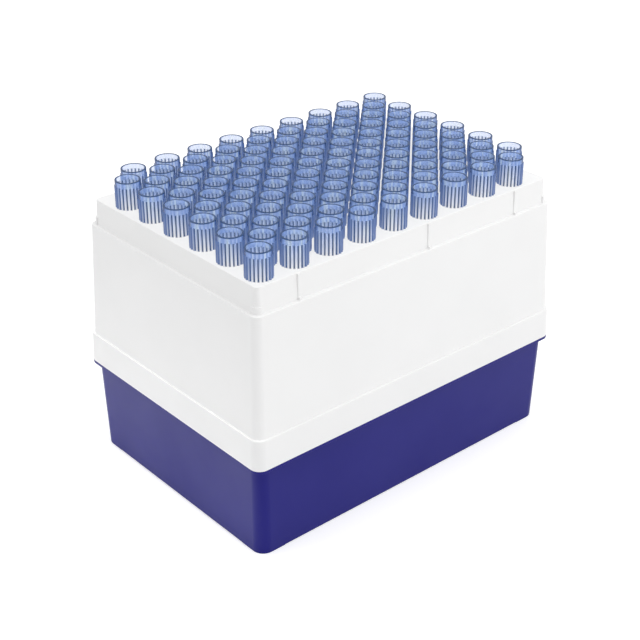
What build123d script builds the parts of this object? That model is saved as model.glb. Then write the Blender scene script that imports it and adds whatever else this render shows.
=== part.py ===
from build123d import *
import math
import os

# A box of pipette tips: an open base tub, a stepped rack that stands on it like a lid, and
# 108 tips that hang by their collars in the rack's perforated deck. The tips lie in eighteen
# columns of six, and every other column is shifted, so each tip has its nearest neighbours on
# the diagonals. Millimetres, +Z up. The origin is on the table at the box's centre, with the
# long side along X. Turned half a turn about Z, the box is the same.

# Tip lattice
tip_pitch = 9.0            # centre to centre of nearest tips, along the diagonal
column_count = 18          # columns along X
row_count = 12             # rows along Y, of which each column fills every other one
half_step = tip_pitch / math.sqrt(2)    # spacing of columns, and of rows

# Tip: a hollow taper under a collar
tip_sides = 8              # flats round a tip: few, because there are 108 of them
collar_gap = 0.6           # clear space between neighbouring collars
collar_height = 8.8        # deck to rim
collar_wall = 0.8          # at the rim, round the socket for the pipette's nozzle
seat_width = 0.6           # step from the collar in to the shank, which rests on the deck
end_radius = 0.85          # outside of the tip's lower end
end_bore_radius = 0.45     # the hole that liquid goes through
floor_gap = 7.0            # clear height between the tips' ends and the base's floor

# Rack: three stacked stages, each drafted so that it widens downwards
deck_margin = 1.05         # from the outermost collars to the deck's edge
deck_thickness = 2.4
rack_wall = 1.8
hole_clearance = 0.2       # between a shank and its hole in the deck
tier_height = 8.2          # narrow top stage
tier_draft = 0.45
ledge_width = 1.3          # flat ledge round the foot of the top stage
wall_height = 38.7         # main wall
wall_draft = 1.6
seam_step = 0.7            # from the main wall out to the skirt
skirt_height = 10.1        # lowest stage, down to the base's flange
skirt_draft = 0.3
edge_chamfer = 0.4         # on the top edge of each stage
deck_corner = 1.5          # corner radii, from the deck downwards
tier_corner = 2.0
ledge_corner = 2.6
wall_corner = 3.0
skirt_corner = 3.5

# Small features of the top stage
guide_steps = (-7, 1, 7)   # guides on a long side, in half steps from its middle
guide_width = 0.8
guide_depth = 0.9
guide_foot_height = 0.7    # a guide's foot, which crosses the ledge
pad_height = 2.3           # pads round the four corners, up from the ledge
pad_depth = 0.35
pad_reach = 1.6            # along each side from the corner

# Base tub
base_height = 32.2         # table to the top of the flange, where the rack stands
base_wall = 1.6
base_draft = 0.7           # the tub narrows downwards
base_top_corner = 3.9
base_foot_corner = 4.1
flange_thickness = 1.0
flange_overhang = 1.5      # from the tub's wall to the flange's edge
floor_thickness = 1.8
underside_recess = 1.2     # hollow under the floor, inside a standing rim
underside_rim = 2.4        # width of that rim
foot_height = 0.3          # corner feet below the standing rim
foot_length = 9.2          # along each side from the corner
lip_height = 4.0           # upright lip that locates the rack from inside
lip_clearance = 0.3        # between the lip and the rack's skirt

# Heights above the table
deck_z = base_height + skirt_height + wall_height + tier_height
ledge_z = deck_z - tier_height
seam_z = ledge_z - wall_height
floor_z = foot_height + underside_recess + floor_thickness
tip_end_z = floor_z + floor_gap
rim_z = deck_z + collar_height

# Radii of a tip, at the corners between its flats
collar_radius = (tip_pitch - collar_gap) / 2
socket_radius = collar_radius - collar_wall
shank_radius = collar_radius - seat_width
hole_radius = shank_radius + hole_clearance

# A hole is cut on below the deck until the tapering shank clears the rack's wall beside it
shank_taper = (shank_radius - end_radius) / (deck_z - tip_end_z)
reach_into_wall = hole_radius + rack_wall - (collar_radius + deck_margin)
hole_depth = max(2 * deck_thickness, reach_into_wall / (shank_taper + tier_draft / tier_height))

# The deck's size, and how far outside the deck's edge each lower level stands
deck_length = (column_count - 1) * half_step + 2 * (collar_radius + deck_margin)
deck_width = (row_count - 1) * half_step + 2 * (collar_radius + deck_margin)
tier_foot_out = tier_draft
ledge_out = tier_foot_out + ledge_width
wall_foot_out = ledge_out + wall_draft
seam_out = wall_foot_out + seam_step
skirt_foot_out = seam_out + skirt_draft
tub_top_out = skirt_foot_out - flange_overhang
tub_foot_out = tub_top_out - base_draft


def outline(z, out, corner):
    """A rounded rectangle at height z, whose sides lie out past the deck's."""
    return Plane.XY.offset(z) * RectangleRounded(deck_length + 2 * out, deck_width + 2 * out,
                                                 max(corner, 0.6))


def stack(levels):
    """A block with straight sides from each (height, out, corner) level to the next."""
    return loft([outline(*level) for level in levels], ruled=True)


def rack_outside():
    """The rack's three stages as one stepped block, each with its top edge broken."""
    return stack([(base_height, skirt_foot_out, skirt_corner),
                  (seam_z - edge_chamfer, seam_out, skirt_corner),
                  (seam_z, seam_out - edge_chamfer, skirt_corner),
                  (seam_z, wall_foot_out, wall_corner),
                  (ledge_z - edge_chamfer, ledge_out, ledge_corner),
                  (ledge_z, ledge_out - edge_chamfer, ledge_corner),
                  (ledge_z, tier_foot_out, tier_corner),
                  (deck_z - edge_chamfer, 0, deck_corner),
                  (deck_z, -edge_chamfer, deck_corner)])


def rack_hollow():
    """The rack's inside, which follows the outside one wall's thickness within."""
    levels = [(base_height, skirt_foot_out, skirt_corner),
              (seam_z - rack_wall, seam_out, skirt_corner),
              (seam_z - rack_wall, wall_foot_out, wall_corner),
              (ledge_z - rack_wall, ledge_out, ledge_corner),
              (ledge_z - rack_wall, tier_foot_out, tier_corner),
              (deck_z - deck_thickness, 0, deck_corner)]
    return stack([(z, out - rack_wall, corner - rack_wall) for z, out, corner in levels])


def guides():
    """Upright guides with feet on the long sides of the top stage, from the ledge to the deck."""
    guide = []
    for out, height in ((guide_depth, tier_height - edge_chamfer),
                        (ledge_out - edge_chamfer, guide_foot_height)):
        depth = tier_draft + out
        guide.append(Pos(0, tier_draft - deck_width / 2 - depth / 2, ledge_z + height / 2) * Box(
            guide_width, depth, height))
    front = [Pos(step * half_step, 0, 0) * block for step in guide_steps for block in guide]
    return front + [Rot(0, 0, 180) * block for block in front]


def corner_pads():
    """A low pad round each corner of the top stage, standing on the ledge."""
    out = tier_foot_out + pad_depth
    ring = extrude(outline(ledge_z, out, tier_corner), pad_height)
    reach = 2 * (pad_reach + pad_depth)
    corners = GridLocations(deck_length + 2 * out, deck_width + 2 * out, 2, 2)
    return [ring & Pos(0, 0, ledge_z + pad_height / 2) * corner * Box(reach, reach, pad_height)
            for corner in corners]


def tip_columns():
    """The lattice: for each column, from -X to +X, the (x, y) of its tips."""
    middle_column = (column_count - 1) / 2
    middle_row = (row_count - 1) / 2
    return [[((column - middle_column) * half_step, (row - middle_row) * half_step)
             for row in range(column % 2, row_count, 2)]
            for column in range(column_count)]


def deck_holes():
    """One hole through the deck for each tip's shank."""
    flats = Plane.XY.offset(deck_z - hole_depth) * RegularPolygon(hole_radius, tip_sides)
    hole = extrude(flats, hole_depth + deck_thickness)
    return [Pos(x, y, 0) * hole for column in tip_columns() for x, y in column]


def build_rack():
    """Stepped rack, open below, with a perforated deck on top."""
    return rack_outside() + guides() + corner_pads() - rack_hollow() - deck_holes()


def turned_in_flats(profile):
    """A ring-shaped solid: a closed (radius, z) profile carried round Z with flat sides."""
    spokes = [[Vector(radius, 0, z).rotate(Axis.Z, side * 360 / tip_sides) for radius, z in profile]
              for side in range(tip_sides)]
    sides = []
    for side in range(tip_sides):
        here, there = spokes[side - 1], spokes[side]
        for point in range(len(profile)):
            corners = here[point - 1], here[point], there[point], there[point - 1]
            sides.append(Face(Wire.make_polygon(corners)))
    return Solid(Shell(sides))


def build_tip():
    """One tip at the lattice's centre, its collar seated on the deck and its shank below."""
    return turned_in_flats([(end_bore_radius, tip_end_z), (end_radius, tip_end_z),
                            (shank_radius, deck_z), (collar_radius, deck_z),
                            (collar_radius, rim_z), (socket_radius, rim_z)])


def foot_gaps():
    """What is cut away between the corner feet: two crossed slabs."""
    length = deck_length + 2 * (tub_foot_out - foot_length)
    width = deck_width + 2 * (tub_foot_out - foot_length)
    across = 2 * deck_length
    return [Pos(0, 0, foot_height / 2) * Box(*size, foot_height)
            for size in ((length, across), (across, width))]


def build_base():
    """Open tub with a flange for the rack, a locating lip, a recessed floor and corner feet."""
    shell = stack([(0, tub_foot_out, base_foot_corner), (base_height, tub_top_out, base_top_corner)])
    flange = extrude(outline(base_height - flange_thickness, skirt_foot_out, skirt_corner),
                     flange_thickness)
    lip_top_z = base_height + lip_height
    lip_draft = skirt_draft * lip_height / skirt_height
    lip_out = skirt_foot_out - lip_draft - rack_wall - lip_clearance
    lip = extrude(outline(base_height, lip_out, skirt_corner - rack_wall), lip_height)
    hollow = stack([(floor_z, tub_foot_out - base_wall, base_foot_corner - base_wall),
                    (base_height, tub_top_out - base_wall, base_top_corner - base_wall),
                    (lip_top_z, tub_top_out - base_wall, base_top_corner - base_wall)])
    recess = extrude(outline(0, tub_foot_out - underside_rim, base_foot_corner - underside_rim),
                     foot_height + underside_recess)
    return shell + flange + lip - hollow - recess - foot_gaps()


os.makedirs("parts", exist_ok=True)
export_step(build_base(), "parts/base_tub.step")
export_step(build_rack(), "parts/rack.step")
tip = build_tip()
for number, column in enumerate(tip_columns(), 1):
    tips = Compound([Pos(x, y, 0) * tip for x, y in column])
    export_step(tips, f"parts/tips_column_{number:02d}.step")
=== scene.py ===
# %% [markdown]
# # A box of pipette tips
#
# The object is a box for a laboratory bench. An indigo tub forms the base. A white rack stands
# on it like a tall stepped lid, and its flat top is a deck with holes. In every hole hangs a
# pipette tip: a long hollow taper whose ribbed collar is too wide for the hole.
#
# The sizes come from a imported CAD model, which is loaded first and stays where it is. This
# lesson builds finer versions of its pieces round it: the tub, the rack and the field of tips.

# %% Load the frame
import math

import bmesh
import bpy
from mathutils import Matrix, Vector


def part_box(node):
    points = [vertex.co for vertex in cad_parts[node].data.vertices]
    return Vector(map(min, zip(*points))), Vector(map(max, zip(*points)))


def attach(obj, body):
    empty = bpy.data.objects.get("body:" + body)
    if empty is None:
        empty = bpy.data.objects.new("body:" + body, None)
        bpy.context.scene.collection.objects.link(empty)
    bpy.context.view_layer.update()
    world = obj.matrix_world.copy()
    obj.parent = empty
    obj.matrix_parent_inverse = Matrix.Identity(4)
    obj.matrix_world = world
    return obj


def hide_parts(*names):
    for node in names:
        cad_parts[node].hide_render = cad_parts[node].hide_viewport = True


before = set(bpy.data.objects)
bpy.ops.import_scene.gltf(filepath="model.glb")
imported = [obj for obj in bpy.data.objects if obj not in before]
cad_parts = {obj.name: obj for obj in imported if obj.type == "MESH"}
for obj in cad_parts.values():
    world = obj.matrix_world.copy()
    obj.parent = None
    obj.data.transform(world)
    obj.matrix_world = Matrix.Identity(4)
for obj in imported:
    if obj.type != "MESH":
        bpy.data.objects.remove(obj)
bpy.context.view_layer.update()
mm = 0.001

# %% [markdown]
# ## Read the lattice from the CAD boxes
#
# The tips stand in eighteen columns of six, and every other column is shifted by half a gap.
# Nothing here needs to be typed in: the first column's box gives a tip's radius and heights,
# and two neighbouring columns give the step between them. Reading sizes from the frame, rather
# than copying them, keeps the looks right when the CAD model changes.

# %% Measure the columns, the rack and the tub
column_names = sorted(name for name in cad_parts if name.startswith("tips_column"))
first_low, first_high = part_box(column_names[0])
last_low, last_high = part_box(column_names[-1])
crest_radius = (first_high.x - first_low.x) / 2
step = (last_low.x - first_low.x) / (len(column_names) - 1)
row_count = 2 * round((first_high.y - first_low.y) / (2 * step))
tip_end_z, rim_z = first_low.z, first_high.z

rack_low, rack_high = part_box("rack")
base_low, base_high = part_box("base_tub")
flange_z, deck_z = rack_low.z, rack_high.z
print(f"{len(column_names)} columns, {row_count} half-filled rows, step {step / mm:.3f} mm, "
      f"rib crests at {crest_radius / mm:.2f} mm, collars {(rim_z - deck_z) / mm:.1f} mm tall")

# %% [markdown]
# ## A skin over stacked outlines
#
# The tub and the rack are injection mouldings. A moulder draws such walls as rounded rectangles
# stacked up a section line, a little wider at each step so that the part slides off its core.
# The same idea builds the mesh: a section is a list of points, each with its distance outside
# the deck's edge, its height and the radius of the corners there. The skin joins a rounded
# rectangle at each point to the next one. A bevel modifier could round the edges later, but
# easing the section line itself gives clean rows of faces and keeps every wall straight.

# %% Helpers for sections and skins
deck_margin = 1.05 * mm    # from the outermost collars to the deck's edge
deck_half_x = (last_high.x - first_low.x) / 2 + deck_margin
deck_half_y = (row_count - 1) * step / 2 + crest_radius + deck_margin
corner_steps = 10
ease_steps = 3


def outline(out, z, corner):
    """The points of a rounded rectangle, anticlockwise, whose sides lie out past the deck's."""
    points = []
    for sign_x, sign_y, start in ((1, 1, 0), (-1, 1, 90), (-1, -1, 180), (1, -1, 270)):
        for part in range(corner_steps + 1):
            turn = math.radians(start + 90 * part / corner_steps)
            points.append(((deck_half_x + out - corner) * sign_x + corner * math.cos(turn),
                           (deck_half_y + out - corner) * sign_y + corner * math.sin(turn), z))
    return points


def eased(section):
    """A section of (out, height, corner, easing) points in mm, with its bends rounded, in m."""
    points = [Vector(point[:3]) * mm for point in section]
    result = [points[0]]
    for before, here, after, given in zip(points, points[1:], points[2:], section[1:]):
        easing = given[3] * mm
        start = here + (before - here).normalized() * easing
        end = here + (after - here).normalized() * easing
        for part in range(ease_steps + 1):
            t = part / ease_steps
            result.append(start.lerp(here, t).lerp(here.lerp(end, t), t))
    return result + [points[-1]]


def skinned(name, section):
    """A closed mesh object: outlines along the section, joined, and capped at both ends."""
    mesh = bmesh.new()
    rings = [[mesh.verts.new(point) for point in outline(*level)] for level in eased(section)]
    for low, high in zip(rings, rings[1:]):
        for index in range(len(low)):
            mesh.faces.new((low[index - 1], low[index], high[index], high[index - 1]))
    mesh.faces.new(rings[0])
    mesh.faces.new(rings[-1])
    bmesh.ops.recalc_face_normals(mesh, faces=mesh.faces)
    return linked(name, mesh)


def linked(name, mesh):
    """Puts a finished bmesh into the scene as an object."""
    data = bpy.data.meshes.new(name)
    mesh.to_mesh(data)
    mesh.free()
    made = bpy.data.objects.new(name, data)
    bpy.context.scene.collection.objects.link(made)
    return made


def block(mesh, low, high):
    """Adds a plain block between two corners to a bmesh."""
    size = Vector(high) - Vector(low)
    made = bmesh.ops.create_cube(mesh, size=1)["verts"]
    bmesh.ops.scale(mesh, vec=size, verts=made)
    bmesh.ops.translate(mesh, vec=Vector(low) + size / 2, verts=made)


# %% [markdown]
# ## The rack
#
# The rack is one white moulding in three stages. The skirt at the bottom grips the tub, the tall
# main wall carries a flat ledge at its top, and the narrow stage above the ledge ends in the
# deck. The section below starts in the middle of the deck's underside, runs down the inside,
# turns round the bottom edge and climbs the outside to the middle of the deck's top, so one skin
# makes the whole hollow shell.

# %% The rack's section, in mm
flange_h = flange_z / mm
deck_h = deck_z / mm
skirt_height, tier_height = 10.1, 8.2
seam_h = flange_h + skirt_height
ledge_h = deck_h - tier_height
wall = 1.8
deck_thickness = 2.4
tier_out, ledge_out, wall_out, seam_out, skirt_out = 0.45, 1.75, 3.35, 4.05, 4.35
tier_corner, skirt_corner = 2.0, 3.5
edge = 0.3
in_from_edge = -20         # where a section starts and ends, well inside the deck's edge
rack_section = [
    (in_from_edge, deck_h - deck_thickness, 1, 0),
    (-wall, deck_h - deck_thickness, 0.6, edge),
    (tier_out - wall, ledge_h - wall, 0.6, edge),
    (ledge_out - wall, ledge_h - wall, 0.8, edge),
    (wall_out - wall, seam_h - wall, 1.2, edge),
    (seam_out - wall, seam_h - wall, 1.7, edge),
    (skirt_out - wall, flange_h, 1.7, edge / 2),
    (skirt_out, flange_h, skirt_corner, edge / 2),
    (seam_out, seam_h, skirt_corner, edge),
    (wall_out, seam_h, 3.0, edge / 2),
    (ledge_out, ledge_h, 2.6, edge),
    (tier_out, ledge_h, tier_corner, edge / 2),
    (0, deck_h, 1.5, edge),
    (in_from_edge, deck_h, 1, 0),
]
rack = skinned("rack_moulding", rack_section)
print("rack skin:", len(rack.data.polygons), "faces")

# %% [markdown]
# ## Guides and pads on the rack's top stage
#
# Three slim upright guides with small feet stand on each long side of the top stage, and a low
# pad wraps each of its corners; together they centre a lid. They are plain solids sunk a little
# into the wall. A boolean union in the next step welds them on, as they are one moulding in real
# life. A pad's rim is a quarter of an outline from the helper above, laid out and back again.

# %% Build the guides and the pads
guide_steps = (-7, 1, 7)    # in lattice steps from the middle of a long side
guide_width, guide_depth = 0.8 * mm, 0.6 * mm
foot_rise, foot_reach = 0.7 * mm, 1.35 * mm
pad_height, pad_depth = 2.3 * mm, 0.35 * mm
sunk = 0.8 * mm             # how far they reach into the wall and the ledge
ledge_z, guide_top_z = ledge_h * mm, deck_z - edge * mm


def prism(mesh, rim, rise):
    """Adds a solid to a bmesh: a flat closed rim of points, carried along a straight rise."""
    foot = [mesh.verts.new(point) for point in rim]
    top = [mesh.verts.new(Vector(point) + Vector(rise)) for point in rim]
    mesh.faces.new(foot[::-1])
    mesh.faces.new(top)
    for index in range(len(rim)):
        mesh.faces.new((foot[index - 1], foot[index], top[index], top[index - 1]))


details = bmesh.new()
for side in (-1, 1):
    profile = [(side * (deck_half_y + out), z) for out, z in (
        (-sunk, ledge_z - sunk), (foot_reach, ledge_z - sunk), (foot_reach, ledge_z + foot_rise),
        (guide_depth, ledge_z + foot_rise), (guide_depth, guide_top_z), (-sunk, guide_top_z))]
    for count in guide_steps:
        start = -side * count * step - guide_width / 2
        prism(details, [(start, y, z) for y, z in profile], (guide_width, 0, 0))

quarter = corner_steps + 1
for first in range(0, 4 * quarter, quarter):
    rim = []
    for out, order in ((tier_out * mm + pad_depth, 1), (tier_out * mm - sunk, -1)):
        ring = outline(out, ledge_z - sunk, tier_corner * mm + out - tier_out * mm)
        rim += ring[first:first + quarter][::order]
    prism(details, rim, (0, 0, pad_height + sunk))
bmesh.ops.recalc_face_normals(details, faces=details.faces)
rack_details = linked("rack_details", details)
print("guides and pads:", len(rack_details.data.polygons), "faces")

# %% [markdown]
# ## Small helpers for Geometry Nodes
#
# A node tree is a recipe that Blender cooks into a mesh. Trees are usually drawn by hand, but a
# few helpers make them just as easy to write down: one adds a node and fills or links its
# inputs, one names a tree's own inputs, and one runs the finished recipe on an object and keeps
# the plain mesh that comes out. Instances are light copies, so each tree ends by realising them.

# %% Helpers for node trees
sharp_angle = 32            # in degrees; an edge that bends more than this stays sharp


def add(tree, kind, inputs=None, **settings):
    """A new node with its settings, whose inputs are given a value or a link from a socket."""
    made = tree.nodes.new(kind)
    for name, value in settings.items():
        setattr(made, name, value)
    for key, value in (inputs or {}).items():
        if isinstance(value, bpy.types.NodeSocket):
            tree.links.new(value, made.inputs[key])
        else:
            made.inputs[key].default_value = value
    return made


def maths(tree, operation, first, second=0.0):
    """A number worked out from two others inside a node tree."""
    return add(tree, "ShaderNodeMath", {0: first, 1: second}, operation=operation).outputs[0]


def new_tree(name, **inputs):
    """A geometry tree with named inputs, and its input node. Each input's kind is given."""
    tree = bpy.data.node_groups.new(name, "GeometryNodeTree")
    tree.is_modifier = True
    tree.interface.new_socket("Geometry", in_out="OUTPUT", socket_type="NodeSocketGeometry")
    tree.interface.new_socket("Geometry", in_out="INPUT", socket_type="NodeSocketGeometry")
    for label, kind in inputs.items():
        tree.interface.new_socket(label.replace("_", " "), in_out="INPUT",
                                  socket_type="NodeSocket" + kind)
    return tree, tree.nodes.new("NodeGroupInput")


def cook(thing, tree, **values):
    """Runs a tree on an object with the given inputs, and keeps the result as its plain mesh."""
    modifier = thing.modifiers.new(tree.name, "NODES")
    modifier.node_group = tree
    sockets = {item.name: item.identifier for item in tree.interface.items_tree
               if item.in_out == "INPUT"}
    for label, value in values.items():
        modifier[sockets[label.replace("_", " ")]] = value
    keep_result(thing)


def keep_result(thing):
    """Replaces an object's mesh by what its modifiers make of it, and removes them."""
    bpy.context.view_layer.update()
    evaluated = thing.evaluated_get(bpy.context.evaluated_depsgraph_get())
    plain = bpy.data.meshes.new_from_object(evaluated)
    plain.name = thing.name
    thing.modifiers.clear()
    thing.data = plain


def smooth(thing, angle):
    """Smooth shading, broken at edges sharper than the angle, with big faces kept flat."""
    thing.data.polygons.foreach_set("use_smooth", [True] * len(thing.data.polygons))
    thing.data.set_sharp_from_angle(angle=math.radians(angle))
    weighted = thing.modifiers.new("weighted", "WEIGHTED_NORMAL")
    weighted.keep_sharp = True
    keep_result(thing)


# %% [markdown]
# ## The staggered lattice as a node group
#
# Both the deck's holes and the tips sit on the same lattice, so it is made once and used twice.
# A full grid of points is laid out first. Then every other point goes, as on the black squares
# of a chessboard: a point's column and row numbers are added up, and the odd sums are deleted.

# %% The lattice group
lattice = bpy.data.node_groups.new("staggered lattice", "GeometryNodeTree")
lattice.interface.new_socket("Points", in_out="OUTPUT", socket_type="NodeSocketGeometry")
for label, kind in (("Columns", "Int"), ("Rows", "Int"), ("Step", "Float")):
    lattice.interface.new_socket(label, in_out="INPUT", socket_type="NodeSocket" + kind)
given = lattice.nodes.new("NodeGroupInput").outputs
last_column = maths(lattice, "SUBTRACT", given["Columns"], 1)
last_row = maths(lattice, "SUBTRACT", given["Rows"], 1)
grid = add(lattice, "GeometryNodeMeshGrid", {
    "Size X": maths(lattice, "MULTIPLY", last_column, given["Step"]),
    "Size Y": maths(lattice, "MULTIPLY", last_row, given["Step"]),
    "Vertices X": given["Columns"], "Vertices Y": given["Rows"]})
place = add(lattice, "ShaderNodeSeparateXYZ",
            {0: add(lattice, "GeometryNodeInputPosition").outputs[0]})
steps_out = maths(lattice, "DIVIDE", maths(lattice, "ADD", place.outputs["X"],
                                           place.outputs["Y"]), given["Step"])
half_way = maths(lattice, "DIVIDE", maths(lattice, "ADD", last_column, last_row), 2)
number = maths(lattice, "ROUND", maths(lattice, "ADD", steps_out, half_way))
odd = maths(lattice, "MODULO", number, 2)
kept = add(lattice, "GeometryNodeDeleteGeometry",
           {"Geometry": grid.outputs["Mesh"], "Selection": odd}, domain="POINT")
points = add(lattice, "GeometryNodeMeshToPoints", {"Mesh": kept.outputs[0]})
add(lattice, "NodeGroupOutput", {"Points": points.outputs[0]})


def lattice_points(tree, given):
    """The lattice group inside another tree that has the same three inputs."""
    group = add(tree, "GeometryNodeGroup", node_tree=lattice)
    for label in ("Columns", "Rows", "Step"):
        tree.links.new(given[label], group.inputs[label])
    return group.outputs["Points"]


print("lattice group:", len(lattice.nodes), "nodes")

# %% [markdown]
# ## Weld the details on and perforate the deck
#
# One tree does both jobs with exact booleans. It first joins the guides and pads to the skin.
# Then it sets a cylinder on every lattice point and cuts them all out of the deck at once. The
# holes hide under the collars, but they are there, as each tip's taper passes through one. Exact
# cuts can leave pairs of points a hair apart, so points closer than two microns are merged.

# %% The rack's tree
drill_length = 10 * mm
merge_distance = 0.002 * mm
perforate, entry = new_tree("weld and perforate", Details="Object", Columns="Int", Rows="Int",
                            Step="Float", Hole_Radius="Float", Deck_Height="Float",
                            Material="Material")
given = entry.outputs
extra = add(perforate, "GeometryNodeObjectInfo", {"Object": given["Details"]})
welded = add(perforate, "GeometryNodeMeshBoolean", operation="UNION", solver="EXACT")
perforate.links.new(given["Geometry"], welded.inputs["Mesh 2"])
perforate.links.new(extra.outputs["Geometry"], welded.inputs["Mesh 2"])
drill = add(perforate, "GeometryNodeMeshCylinder",
            {"Vertices": 32, "Radius": given["Hole Radius"], "Depth": drill_length})
drills = add(perforate, "GeometryNodeInstanceOnPoints",
             {"Points": lattice_points(perforate, given), "Instance": drill.outputs["Mesh"]})
height = add(perforate, "ShaderNodeCombineXYZ", {"Z": given["Deck Height"]})
raised = add(perforate, "GeometryNodeTransform", {
    "Geometry": add(perforate, "GeometryNodeRealizeInstances", {0: drills.outputs[0]}).outputs[0],
    "Translation": height.outputs[0]})
holed = add(perforate, "GeometryNodeMeshBoolean",
            {"Mesh 1": welded.outputs["Mesh"], "Mesh 2": raised.outputs[0]},
            operation="DIFFERENCE", solver="EXACT")
tidied = add(perforate, "GeometryNodeMergeByDistance",
             {"Geometry": holed.outputs["Mesh"], "Distance": merge_distance})
finished = add(perforate, "GeometryNodeSetMaterial",
               {"Geometry": tidied.outputs[0], "Material": given["Material"]})
add(perforate, "NodeGroupOutput", {0: finished.outputs[0]})

# %% [markdown]
# ## Moulded plastic
#
# The tub and the rack are polypropylene from a steel mould. Such a surface is never a perfect
# mirror: spark erosion leaves the mould with a fine even grain, and slow cooling leaves broad
# soft patches that shine a little more or less. Two noise textures give both. The broad one
# shifts the colour and the roughness slightly, and the fine one is a very shallow bump.

# %% The opaque plastics
refractive_index = 1.49
patch_scale, grain_scale = 45, 3200
grain_depth = 0.02 * mm


def noise(tree, coordinates, scale, detail):
    """A noise texture's grey value in object coordinates; scale is lumps per metre."""
    return add(tree, "ShaderNodeTexNoise", {"Vector": coordinates, "Scale": scale,
                                            "Detail": detail}).outputs["Fac"]


def ramp(tree, value, start, end, low, high):
    """A number that runs from low to high while the value runs from start to end."""
    return add(tree, "ShaderNodeMapRange", {"Value": value, "From Min": start, "From Max": end,
                                            "To Min": low, "To Max": high}).outputs["Result"]


def between(tree, factor, low, high):
    """A number that runs from low to high as the factor runs over the noise's usual span."""
    return ramp(tree, factor, 0.3, 0.7, low, high)


def moulded_plastic(name, colour, shade, roughness, gloss, grain):
    """Opaque plastic whose colour drifts from colour to shade, with a shallow mould grain."""
    material = bpy.data.materials.new(name)
    material.use_nodes = True
    tree = material.node_tree
    shader = tree.nodes["Principled BSDF"]
    where = add(tree, "ShaderNodeTexCoord").outputs["Object"]
    patches = noise(tree, where, patch_scale, 3)
    grains = noise(tree, where, grain_scale, 2)
    drift = add(tree, "ShaderNodeMix", {0: between(tree, patches, 0, 1), 6: (*colour, 1),
                                        7: (*shade, 1)}, data_type="RGBA")
    tree.links.new(drift.outputs[2], shader.inputs["Base Color"])
    tree.links.new(between(tree, patches, roughness - 0.04, roughness + 0.04),
                   shader.inputs["Roughness"])
    bump = add(tree, "ShaderNodeBump", {"Height": grains, "Strength": grain,
                                        "Distance": grain_depth})
    tree.links.new(bump.outputs[0], shader.inputs["Normal"])
    shader.inputs["IOR"].default_value = refractive_index
    shader.inputs["Specular IOR Level"].default_value = gloss
    return material


white_plastic = moulded_plastic(
    "white_polypropylene", colour=(0.865, 0.865, 0.865), shade=(0.85, 0.85, 0.85),
    roughness=0.45, gloss=0.25, grain=0.25)
indigo_plastic = moulded_plastic(
    "indigo_polypropylene", colour=(0.006, 0.005, 0.178), shade=(0.004, 0.003, 0.163),
    roughness=0.36, gloss=0.22, grain=0.2)

# %% [markdown]
# ## Finish the rack
#
# Skin, details, tree and plastic are ready, so the rack can be cooked. The two calls at the end
# say which body the piece moves with and which CAD piece it stands in for. Nothing in this box is
# jointed, so everything rides on the root.

# %% Cook the rack
seat_width = 0.4 * mm       # how far a collar overlaps the deck round its hole
hole_radius = crest_radius - seat_width
cook(rack, perforate, Details=rack_details, Columns=len(column_names), Rows=row_count,
     Step=step, Hole_Radius=hole_radius, Deck_Height=deck_z, Material=white_plastic)
bpy.data.objects.remove(rack_details)
smooth(rack, sharp_angle)
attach(rack, "root")
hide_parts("rack")
print("perforated rack:", len(rack.data.polygons), "faces")

# %% [markdown]
# ## The base tub
#
# The tub is one moulding too: a raised floor, sloping walls, a flange that the rack stands on
# and, inside the flange, an upright lip that keeps the rack from sliding. Its section again runs
# from the middle of the floor over the lip and down the outside to the recess underneath. The
# tub touches the table with four corner feet only, so two crossed slabs are cut from the rim
# between them. A boolean modifier is the shortest way to make such a cut.

# %% Build the tub
tub_top, tub_foot = 2.85, 2.15
tub_wall, flange_thickness = 1.6, 1.0
lip_out, lip_top_h, lip_corner = 2.13, flange_h + 4.0, 1.7
floor_h, recess_h, rim_width, recess_corner = 3.3, 1.5, 2.4, 1.7
foot_height, foot_length = 0.3 * mm, 9.2
tub_section = [
    (in_from_edge, floor_h, 1, 0),
    (tub_foot - tub_wall, floor_h, 2.5, edge),
    (tub_top - tub_wall, flange_h, 2.3, edge / 2),
    (tub_top - tub_wall, lip_top_h, 2.3, edge / 2),
    (lip_out, lip_top_h, lip_corner, edge / 2),
    (lip_out, flange_h, lip_corner, edge / 2),
    (skirt_out, flange_h, skirt_corner, edge / 2),
    (skirt_out, flange_h - flange_thickness, skirt_corner, edge / 2),
    (tub_top, flange_h - flange_thickness, 3.9, edge / 2),
    (tub_foot, 0, 4.1, edge),
    (tub_foot - rim_width, 0, recess_corner, edge / 2),
    (tub_foot - rim_width, recess_h, recess_corner, edge / 2),
    (in_from_edge, recess_h, 1, 0),
]
tub = skinned("tub_moulding", tub_section)

gap_x = deck_half_x + (tub_foot - foot_length) * mm
gap_y = deck_half_y + (tub_foot - foot_length) * mm
far = 2 * deck_half_x
cutters = []
for name, half_x, half_y in (("foot_gaps", gap_x, far), ("foot_gaps_across", far, gap_y)):
    slab = bmesh.new()
    block(slab, (-half_x, -half_y, -foot_height), (half_x, half_y, foot_height))
    cutters.append(linked(name, slab))
for cutter in cutters:
    cut = tub.modifiers.new("feet", "BOOLEAN")
    cut.object = cutter
    cut.operation = "DIFFERENCE"
    cut.solver = "EXACT"
keep_result(tub)
for cutter in cutters:
    bpy.data.objects.remove(cutter)
tub.data.materials.append(indigo_plastic)
smooth(tub, sharp_angle)
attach(tub, "root")
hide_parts("base_tub")
print("tub:", len(tub.data.polygons), "faces")

# %% [markdown]
# ## One plain tip, turned like a bowl
#
# A tip is round, so it starts as a half section carried once round the Z axis. The section is a
# closed loop: from the fine bore at the bottom, up the outside of the taper, out under the
# collar, up past the smooth band to the rim, over it and back down the inside. A spin modifier
# could turn it, but writing the spokes directly decides where they stand. The ribs of the next
# step need three each: one that becomes a groove, and two that carry the rib's flat crest.

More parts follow.
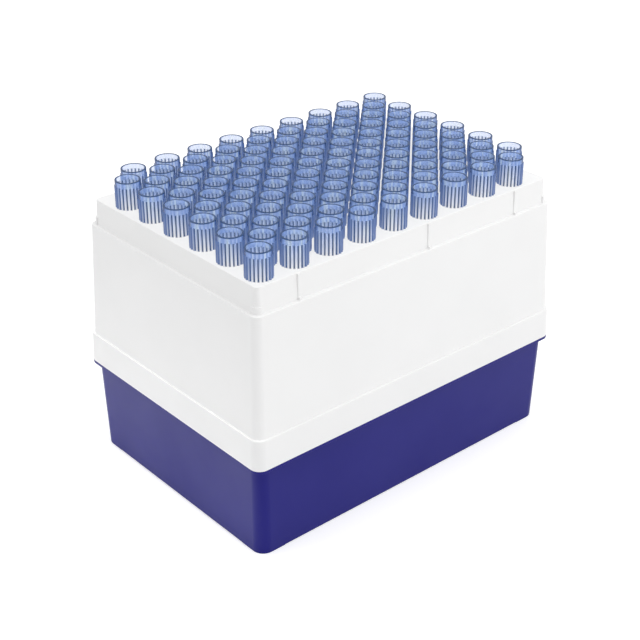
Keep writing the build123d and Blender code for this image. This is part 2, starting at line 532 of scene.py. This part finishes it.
# %% Turn the plain tip
rib_count = 22
bore, end = 0.45, 0.85      # radii at the lower end
crest = crest_radius / mm
shank = crest - 0.6         # under the collar
band = crest - 0.2
mouth = crest - 0.78
socket = mouth - 0.2        # at the bottom of the collar's inside
rim_h, end_h = rim_z / mm, tip_end_z / mm
band_foot_h, socket_h = rim_h - 1.9, rim_h - 7
brim_h = rim_h - 0.12
tip_section = [
    (bore, end_h), (end, end_h), (shank, deck_h), (crest, deck_h),
    (crest, band_foot_h), (band, band_foot_h + 0.2), (band, brim_h - 0.2), (band, brim_h),
    (band - 0.05, rim_h), (mouth, rim_h), (mouth, brim_h - 0.05), (socket, socket_h),
]


def turned(name, section, turns):
    """A ring-shaped solid: a closed section of (radius, height) in mm, carried round Z."""
    mesh = bmesh.new()
    spokes = [[mesh.verts.new((radius * mm * math.cos(turn), radius * mm * math.sin(turn),
                               height * mm)) for radius, height in section] for turn in turns]
    for here, there in zip(spokes, spokes[1:] + spokes[:1]):
        for point in range(len(section)):
            mesh.faces.new((here[point - 1], here[point], there[point], there[point - 1]))
    bmesh.ops.recalc_face_normals(mesh, faces=mesh.faces)
    return linked(name, mesh)


rib_turn = 2 * math.pi / rib_count
places = (0, 0.35, 0.65)    # a groove and the two sides of a crest, in shares of a rib's turn
spoke_turns = [rib_turn * (rib + place) for rib in range(rib_count) for place in places]
tips = turned("pipette_tips", tip_section, spoke_turns)
print("one tip:", len(tips.data.polygons), "faces")

# %% [markdown]
# ## Press the ribs and mark the zones
#
# The collar's ribs give a gloved hand a grip, and in the real mould they are upright grooves. The
# tree does the same: it finds the corners on the collar's outside, works out how far round the
# tip each one is, and pulls one in three towards the axis. It also stores a few numbers on the
# mesh, such as whether a corner belongs to a groove, to the rim or to the inside. They travel
# with every copy of the tip, and the plastic in the next step reads them. Vertex colours painted
# by hand could say the same, but stored numbers follow the shape when a size changes.

# %% The tips' tree
outer_skin, wall_depth, rim_slack = 0.1 * mm, 0.7 * mm, 0.01 * mm
groove_share = 0.2          # of a rib's turn, round the middle of its groove
groove_shade_reach = 1.6          # above 1, so that a groove's painted shade covers part of its flanks too
ribbing, entry = new_tree("rib and repeat", Ribs="Int", Groove_Depth="Float",
                          Crest_Radius="Float", Deck_Height="Float", Brim_Height="Float",
                          Columns="Int", Rows="Int", Step="Float", Material="Material")
given = entry.outputs
place = add(ribbing, "ShaderNodeSeparateXYZ",
            {0: add(ribbing, "GeometryNodeInputPosition").outputs[0]}).outputs
flat = add(ribbing, "ShaderNodeCombineXYZ", {"X": place["X"], "Y": place["Y"]}).outputs[0]
outwards = add(ribbing, "ShaderNodeVectorMath", {0: flat}, operation="NORMALIZE").outputs[0]
radius = add(ribbing, "ShaderNodeVectorMath", {0: flat}, operation="LENGTH").outputs["Value"]
depth = maths(ribbing, "SUBTRACT", given["Crest Radius"], radius)
on_collar = maths(ribbing, "LESS_THAN", depth, outer_skin)
inside = maths(ribbing, "GREATER_THAN", depth, wall_depth)
above_brim = maths(ribbing, "SUBTRACT", place["Z"], given["Brim Height"])
on_rim = maths(ribbing, "GREATER_THAN", above_brim, -rim_slack)

turn = maths(ribbing, "DIVIDE", maths(ribbing, "ARCTAN2", place["Y"], place["X"]), 2 * math.pi)
ribs_round = maths(ribbing, "MULTIPLY", maths(ribbing, "ADD", turn, 1), given["Ribs"])
phase = maths(ribbing, "FRACT", maths(ribbing, "ADD", ribs_round, groove_share / 2))
near_groove = maths(ribbing, "LESS_THAN", phase, groove_share)
in_groove = maths(ribbing, "MULTIPLY", on_collar, near_groove)
# Painted highlight: the collar's outside is painted white, fully by the deck and fading to none at
# the brim.
highlight_towards_deck = ramp(ribbing, place["Z"], given["Deck Height"], given["Brim Height"], 1, 0)

# The stored grooved number marks where the plastic paints shade into the grooves.
zones = {"inside": inside, "ribbed": on_collar, "rim": on_rim,
         "pale": maths(ribbing, "MULTIPLY", on_collar, highlight_towards_deck),
         "grooved": maths(ribbing, "MULTIPLY", in_groove, groove_shade_reach)}
marked = add(ribbing, "GeometryNodeStoreNamedAttribute", {
    "Geometry": given["Geometry"], "Name": "radial", "Value": outwards},
    data_type="FLOAT_VECTOR").outputs["Geometry"]
for label, value in zones.items():
    marked = add(ribbing, "GeometryNodeStoreNamedAttribute", {
        "Geometry": marked, "Name": label, "Value": value}, data_type="FLOAT").outputs["Geometry"]
inward = add(ribbing, "ShaderNodeVectorMath", {
    0: outwards, 3: maths(ribbing, "MULTIPLY", given["Groove Depth"], -1)},
    operation="SCALE").outputs["Vector"]
grooved = add(ribbing, "GeometryNodeSetPosition",
              {"Geometry": marked, "Offset": inward, "Selection": in_groove})
field = add(ribbing, "GeometryNodeInstanceOnPoints",
            {"Points": lattice_points(ribbing, given), "Instance": grooved.outputs[0]})
real = add(ribbing, "GeometryNodeRealizeInstances", {0: field.outputs[0]})
finished = add(ribbing, "GeometryNodeSetMaterial",
               {"Geometry": real.outputs[0], "Material": given["Material"]})
add(ribbing, "NodeGroupOutput", {0: finished.outputs[0]})
print("ribbing tree:", len(ribbing.nodes), "nodes")

# %% [markdown]
# ## Tinted see-through plastic
# Four layers are painted light: the white on the collar is a painted highlight, strongest by the
# deck, the grooves and the collar's sides carry painted shade, and the paler streaks are painted
# glints.
#
# The tips are clear polypropylene with a blue dye. Real walls bend the light, and with a hundred
# tips behind one another each ray would need dozens of bends. Here each wall is a thin filter
# instead. Its alpha says how much of the view it hides, and the layers add up to the deep blue
# in the middle of the field. Seen edge-on a wall hides more, because there is more plastic in
# the way, and Layer Weight gives that. It is fed the stored direction away from the tip's axis,
# because the many small faces of the ribs would break it up. A pair of slants says where each
# layer starts and where it is full; 0 is a wall seen face on and 1 a wall seen edge on. Through
# the middle of a tip light goes straight, so the grooves fade there. Paler upright streaks stand
# for the glints that uneven walls throw. The colours of all layers were chosen.
#
# Rays that only carry light to other surfaces pass almost freely, or the deck between the tips
# would turn dark. That is a short cut, as real tips shade one another more. The mould's polish
# runs along the tip, so roughness and bump come from a noise that is stretched ten times along Z.

# %% The clear plastic
cover_dropped = 0.95        # the share of a wall's cover that shadow and diffuse rays don't meet
streak_scale, along_tip = 900, 0.1
streak_depth = 0.03 * mm
outline_slants, side_shade_slants, groove_shade_slants = (0.36, 0.62), (0.15, 0.47), (0.13, 0.26)


def attribute(tree, name, output="Fac"):
    """What is stored on the mesh under a name, as a number or, on request, as a vector."""
    return add(tree, "ShaderNodeAttribute", attribute_name=name).outputs[output]


def clear_plastic(name, band, glint, crest, groove_shade, side, outline, inside, rim):
    """Tinted plastic: each colour's fourth number says how much of the view it hides."""
    material = bpy.data.materials.new(name)
    material.use_nodes = True
    tree = material.node_tree
    shader = tree.nodes["Principled BSDF"]
    where = add(tree, "ShaderNodeTexCoord").outputs["Object"]
    upright = add(tree, "ShaderNodeMapping", {"Vector": where, "Scale": (1, 1, along_tip)})
    streaks = noise(tree, upright.outputs[0], streak_scale, 2)
    tree.links.new(between(tree, streaks, 0.12, 0.2), shader.inputs["Roughness"])
    bump = add(tree, "ShaderNodeBump", {"Height": streaks, "Strength": 0.15,
                                        "Distance": streak_depth})
    tree.links.new(bump.outputs[0], shader.inputs["Normal"])

    slant = add(tree, "ShaderNodeLayerWeight", {
        "Blend": 0.5, "Normal": attribute(tree, "radial", "Vector")}).outputs["Facing"]
    seen_edge_on = ramp(tree, slant, *outline_slants, 0, 1)
    # Painted shade: the collar is painted darker towards a tip's sides, where less light comes
    # through than through its middle.
    side_shade_share = maths(tree, "MULTIPLY", ramp(tree, slant, *side_shade_slants, 0, 0.85),
                       attribute(tree, "ribbed"))
    # Painted shade in the grooves, weaker in the middle of a tip, where light goes straight
    # through.
    groove_shade_share = maths(tree, "MULTIPLY", ramp(tree, slant, *groove_shade_slants, 0.7, 1),
                    attribute(tree, "grooved"))
    # Painted glints: the glint colour goes on in streaks where the streak noise is high.
    layers = [(ramp(tree, streaks, 0.5, 0.65, 0, 1), glint), (seen_edge_on, outline),
              (attribute(tree, "pale"), crest), (groove_shade_share, groove_shade), (side_shade_share, side),
              (attribute(tree, "inside"), inside), (attribute(tree, "rim"), rim)]
    tint, cover = (*band[:3], 1), band[3]
    for share, (*colour, hides) in layers:
        tint = add(tree, "ShaderNodeMix", {0: share, 6: tint, 7: (*colour, 1)},
                   data_type="RGBA").outputs[2]
        cover = add(tree, "ShaderNodeMix", {0: share, 2: cover, 3: hides}).outputs[0]

    path = add(tree, "ShaderNodeLightPath").outputs
    lighting = maths(tree, "MAXIMUM", path["Is Shadow Ray"], path["Is Diffuse Ray"])
    held_back = maths(tree, "SUBTRACT", 1,
                      maths(tree, "MULTIPLY", lighting, cover_dropped))
    tree.links.new(tint, shader.inputs["Base Color"])
    tree.links.new(maths(tree, "MULTIPLY", cover, held_back), shader.inputs["Alpha"])
    shader.inputs["IOR"].default_value = refractive_index
    shader.inputs["Specular IOR Level"].default_value = 0.25
    return material


blue_clear = clear_plastic(
    # glint paints glints in streaks
    "blue_clear_polypropylene", band=(0.29, 0.46, 0.98, 0.4), glint=(0.64, 0.80, 1.0, 0.5),
    # crest paints a highlight on the collar
    # groove paints shade into the grooves
    crest=(1.0, 1.0, 1.0, 0.92), groove_shade=(0.008, 0.045, 0.145, 0.98),
    # side paints shade on the collar's sides
    side=(0.088, 0.165, 0.41, 0.82), outline=(0.03, 0.075, 0.235, 0.9),
    inside=(0.42, 0.60, 1.0, 0.15), rim=(0.008, 0.045, 0.145, 0.97))
print("clear plastic:", len(blue_clear.node_tree.nodes), "nodes")

# %% [markdown]
# ## Fill the deck
#
# With the tree and the plastic ready, one call turns the plain tip into the whole field. The
# tips make one piece here, and it stands in for all eighteen columns of the CAD model.

# %% Cook the tips
groove_depth = 0.4 * mm
cook(tips, ribbing, Ribs=rib_count, Groove_Depth=groove_depth, Crest_Radius=crest_radius,
     Deck_Height=deck_z, Brim_Height=brim_h * mm, Columns=len(column_names), Rows=row_count,
     Step=step, Material=blue_clear)
smooth(tips, sharp_angle)
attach(tips, "root")
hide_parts(*column_names)
print("tips:", len(tips.data.polygons), "faces in all")

# %% [markdown]
# ## Floor and world
#
# The box stands on a plain white floor under a white world. Lit white never renders as pure
# white, so the floor adds a little light of its own and the world shows its full strength, but
# only for what the camera, a mirror or clear plastic sees. The Light Path node tells those rays
# apart, and a Mix or Add Shader keeps them away from the light that falls on the object.

# %% The floor and the world
def seen_white(tree):
    """1 for rays from the camera and for those seen in gloss or through clear plastic, else 0."""
    path = add(tree, "ShaderNodeLightPath").outputs
    mirrored = maths(tree, "MAXIMUM", path["Is Glossy Ray"], path["Is Transmission Ray"])
    return maths(tree, "MAXIMUM", path["Is Camera Ray"], mirrored)


floor_glow = 0.42
world_level = 0.8
floor_half = 4
ground = bmesh.new()
bmesh.ops.create_grid(ground, x_segments=1, y_segments=1, size=floor_half)
floor = linked("floor", ground)
floor_paint = bpy.data.materials.new("white_floor")
floor_paint.use_nodes = True
tree = floor_paint.node_tree
tree.nodes.clear()
matt = add(tree, "ShaderNodeBsdfDiffuse", {"Color": (0.8, 0.8, 0.8, 1)})
glow = add(tree, "ShaderNodeEmission", {
    "Color": (1, 1, 1, 1), "Strength": maths(tree, "MULTIPLY", seen_white(tree), floor_glow)})
both = add(tree, "ShaderNodeAddShader", {0: matt.outputs[0], 1: glow.outputs[0]})
add(tree, "ShaderNodeOutputMaterial", {"Surface": both.outputs[0]})
floor.data.materials.append(floor_paint)

world = bpy.data.worlds.new("studio")
bpy.context.scene.world = world
world.use_nodes = True
tree = world.node_tree
tree.nodes.clear()
soft = add(tree, "ShaderNodeBackground", {"Color": (1, 1, 1, 1), "Strength": world_level})
plain = add(tree, "ShaderNodeBackground", {"Color": (1, 1, 1, 1), "Strength": 1.0})
chosen = add(tree, "ShaderNodeMixShader", {0: seen_white(tree), 1: soft.outputs[0],
                                           2: plain.outputs[0]})
add(tree, "ShaderNodeOutputWorld", {"Surface": chosen.outputs[0]})

# %% [markdown]
# ## Lamps
#
# Studios light small goods with large white boxes, because a large lamp gives soft shadows and
# wide calm highlights. One hangs overhead for the deck, one on the right makes that wall the
# lighter of the two, a weak one on the left fills in, and a narrow strip skims down the left wall
# to lift the dark tub. Area lamps do this as they are; a sun would draw hard edges. The strengths
# were set together so that no white wall clips.

# %% The lamps
def softbox(name, spot, aim, width, length, power, spread=180):
    """An area lamp at a spot turned towards an aim, with sizes in metres and spread in degrees."""
    lamp = bpy.data.lights.new(name, "AREA")
    lamp.shape = "RECTANGLE"
    lamp.size = width
    lamp.size_y = length
    lamp.energy = power
    lamp.spread = math.radians(spread)
    made = bpy.data.objects.new(name, lamp)
    made.location = spot
    made.rotation_euler = (Vector(aim) - Vector(spot)).to_track_quat("-Z", "Y").to_euler()
    bpy.context.scene.collection.objects.link(made)


middle = (0, 0, deck_z / 2)
strip_x, strip_y = -0.085, 0.025
softbox("overhead", (0.1, -0.1, 1.0), middle, width=0.8, length=0.8, power=2.7)
softbox("left", (-0.8, 0.4, 0.4), middle, width=0.5, length=0.5, power=0.6)
softbox("right", (0.45, -0.8, 0.4), middle, width=0.5, length=0.5, power=1.85)
softbox("strip", (strip_x, strip_y, 0.12), (strip_x, strip_y, 0), width=0.04, length=0.14,
        power=0.0125, spread=20)
print("lamps:", len(bpy.data.lights))

# %% [markdown]
# ## The camera
#
# A long lens keeps the box's upright edges nearly parallel. The camera looks at a point a little
# below the middle of the object, from the front left and about thirty degrees up. Many clear
# walls stand behind one another, so rays may pass more transparent layers than usual.

# %% Place the camera
azimuth, elevation = math.radians(-40.85), math.radians(28.57)
camera_distance = 0.4481
aim = Vector((0, 0.0019, 0.041))
back = Vector((math.sin(azimuth) * math.cos(elevation), -math.cos(azimuth) * math.cos(elevation),
               math.sin(elevation)))
lens = bpy.data.cameras.new("camera")
lens.lens = 75.55
lens.sensor_width = 36
lens.clip_start = 0.01
camera = bpy.data.objects.new("camera", lens)
camera.location = aim + back * camera_distance
camera.rotation_euler = (math.pi / 2 - elevation, 0, azimuth)
bpy.context.scene.collection.objects.link(camera)
bpy.context.scene.camera = camera
clear_layers = 48
bpy.context.scene.cycles.transparent_max_bounces = clear_layers
bpy.context.scene.view_settings.view_transform = "Standard"
